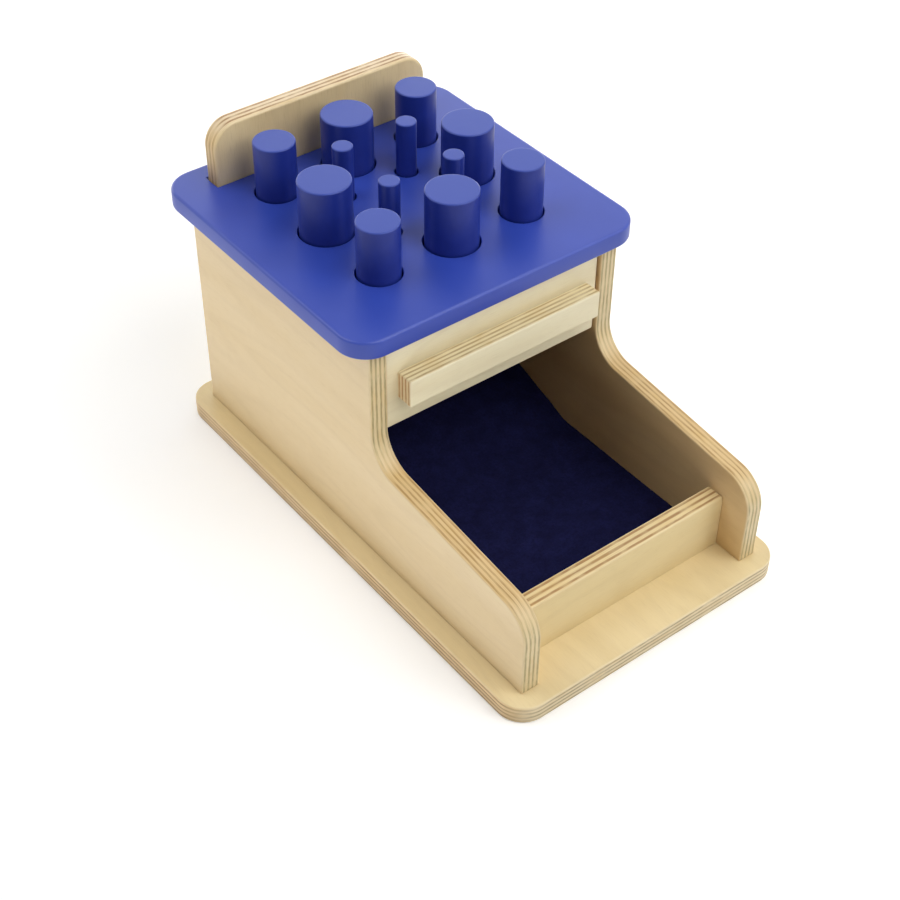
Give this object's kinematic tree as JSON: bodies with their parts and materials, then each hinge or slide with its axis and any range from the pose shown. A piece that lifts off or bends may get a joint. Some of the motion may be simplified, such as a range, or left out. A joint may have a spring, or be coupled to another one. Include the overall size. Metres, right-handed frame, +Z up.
{
  "type": "object permanence box",
  "caption": "Wooden object permanence box: round pegs stand in a blue top on a pull-out shelf and drop down a felt-covered ramp into an open front tray.",
  "frame": {"origin": "centre of the base plate's underside, on the surface that the box stands on", "axes": "+Z up, +Y to the rear (the tab side), -Y to the tray and the drawer handle, +X to the right seen from the front"},
  "size_m": [0.2044, 0.3464, 0.2133],
  "materials": {
    "birch_plywood": "clear satin varnish",
    "blue_lacquer": "satin lacquer on wood",
    "navy_felt": "short wool-like nap",
    "beech": "sanded, unvarnished",
    "zinc_steel": "zinc plated"
  },
  "bodies": {
    "cabinet": {"back_panel": "birch_plywood", "base_plate": "birch_plywood", "base_screw_back_left": "zinc_steel", "base_screw_back_right": "zinc_steel", "base_screw_left_front": "zinc_steel", "base_screw_left_middle": "zinc_steel", "base_screw_left_rear": "zinc_steel", "base_screw_rail_left": "zinc_steel", "base_screw_rail_right": "zinc_steel", "base_screw_right_front": "zinc_steel", "base_screw_right_middle": "zinc_steel", "base_screw_right_rear": "zinc_steel", "felt_lining": "navy_felt", "front_rail": "birch_plywood", "left_keeper": "beech", "left_runner": "beech", "left_side": "birch_plywood", "left_stop_pin": "beech", "ramp_board": "birch_plywood", "ramp_cleat": "beech", "right_keeper": "beech", "right_runner": "beech", "right_side": "birch_plywood", "right_stop_pin": "beech", "top_board": "blue_lacquer", "top_dowel_left_front": "beech", "top_dowel_left_rear": "beech", "top_dowel_right_front": "beech", "top_dowel_right_rear": "beech"},
    "drawer": {"drawer_front": "birch_plywood", "drawer_handle": "birch_plywood", "drawer_screw_left": "zinc_steel", "drawer_screw_right": "zinc_steel", "drawer_shelf": "birch_plywood", "handle_dowel_left": "beech", "handle_dowel_right": "beech"},
    "peg_large_front": {"peg_large_front": "blue_lacquer"},
    "peg_large_left": {"peg_large_left": "blue_lacquer"},
    "peg_large_rear": {"peg_large_rear": "blue_lacquer"},
    "peg_large_right": {"peg_large_right": "blue_lacquer"},
    "peg_medium_front_left": {"peg_medium_front_left": "blue_lacquer"},
    "peg_medium_front_right": {"peg_medium_front_right": "blue_lacquer"},
    "peg_medium_rear_left": {"peg_medium_rear_left": "blue_lacquer"},
    "peg_medium_rear_right": {"peg_medium_rear_right": "blue_lacquer"},
    "peg_small_front_left": {"peg_small_front_left": "blue_lacquer"},
    "peg_small_front_right": {"peg_small_front_right": "blue_lacquer"},
    "peg_small_rear_left": {"peg_small_rear_left": "blue_lacquer"},
    "peg_small_rear_right": {"peg_small_rear_right": "blue_lacquer"}
  },
  "joints": [
    {"name": "drawer_slide", "type": "slide", "parent": "cabinet", "child": "drawer", "axis": [0, -1, 0], "range_m": [0, 0.1435]},
    {"name": "peg_large_front_lift", "type": "slide", "parent": "cabinet", "child": "peg_large_front", "axis": [0, 0, 1], "range_m": [0, 0.052]},
    {"name": "peg_large_left_lift", "type": "slide", "parent": "cabinet", "child": "peg_large_left", "axis": [0, 0, 1], "range_m": [0, 0.052]},
    {"name": "peg_large_rear_lift", "type": "slide", "parent": "cabinet", "child": "peg_large_rear", "axis": [0, 0, 1], "range_m": [0, 0.052]},
    {"name": "peg_large_right_lift", "type": "slide", "parent": "cabinet", "child": "peg_large_right", "axis": [0, 0, 1], "range_m": [0, 0.052]},
    {"name": "peg_medium_front_left_lift", "type": "slide", "parent": "cabinet", "child": "peg_medium_front_left", "axis": [0, 0, 1], "range_m": [0, 0.052]},
    {"name": "peg_medium_front_right_lift", "type": "slide", "parent": "cabinet", "child": "peg_medium_front_right", "axis": [0, 0, 1], "range_m": [0, 0.052]},
    {"name": "peg_medium_rear_left_lift", "type": "slide", "parent": "cabinet", "child": "peg_medium_rear_left", "axis": [0, 0, 1], "range_m": [0, 0.052]},
    {"name": "peg_medium_rear_right_lift", "type": "slide", "parent": "cabinet", "child": "peg_medium_rear_right", "axis": [0, 0, 1], "range_m": [0, 0.052]},
    {"name": "peg_small_front_left_lift", "type": "slide", "parent": "cabinet", "child": "peg_small_front_left", "axis": [0, 0, 1], "range_m": [0, 0.052]},
    {"name": "peg_small_front_right_lift", "type": "slide", "parent": "cabinet", "child": "peg_small_front_right", "axis": [0, 0, 1], "range_m": [0, 0.052]},
    {"name": "peg_small_rear_left_lift", "type": "slide", "parent": "cabinet", "child": "peg_small_rear_left", "axis": [0, 0, 1], "range_m": [0, 0.052]},
    {"name": "peg_small_rear_right_lift", "type": "slide", "parent": "cabinet", "child": "peg_small_rear_right", "axis": [0, 0, 1], "range_m": [0, 0.052]}
  ]
}
